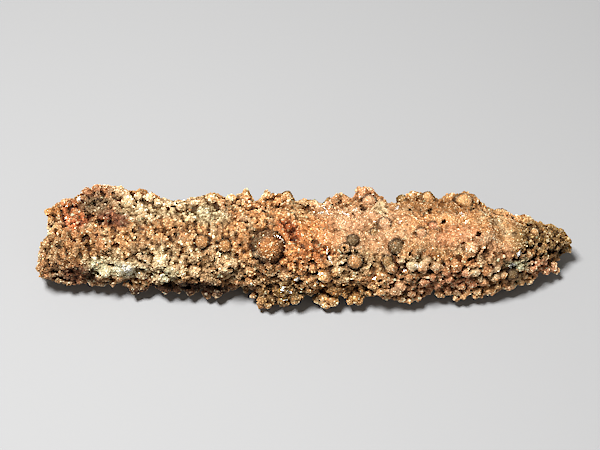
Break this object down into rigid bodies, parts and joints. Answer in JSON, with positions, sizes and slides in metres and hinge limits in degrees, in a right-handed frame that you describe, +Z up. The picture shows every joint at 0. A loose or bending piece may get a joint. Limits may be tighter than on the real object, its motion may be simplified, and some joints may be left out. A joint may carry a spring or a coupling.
{
  "type": "native copper pseudomorph",
  "caption": "Long knobbly natural copper mass, blunt at one end and pointed at the other, that lies on a shelf as a specimen.",
  "frame": {"origin": "on the resting plane, under the middle of the bounding box", "axes": "+X along the specimen towards its pointed end, +Y away from the side that shows its best face, +Z up"},
  "size_m": [0.2148, 0.0478, 0.0355],
  "materials": {
    "copper": "weathered, knobbly, half dull"
  },
  "bodies": {
    "root": {"native_copper": "copper"}
  },
  "joints": []
}
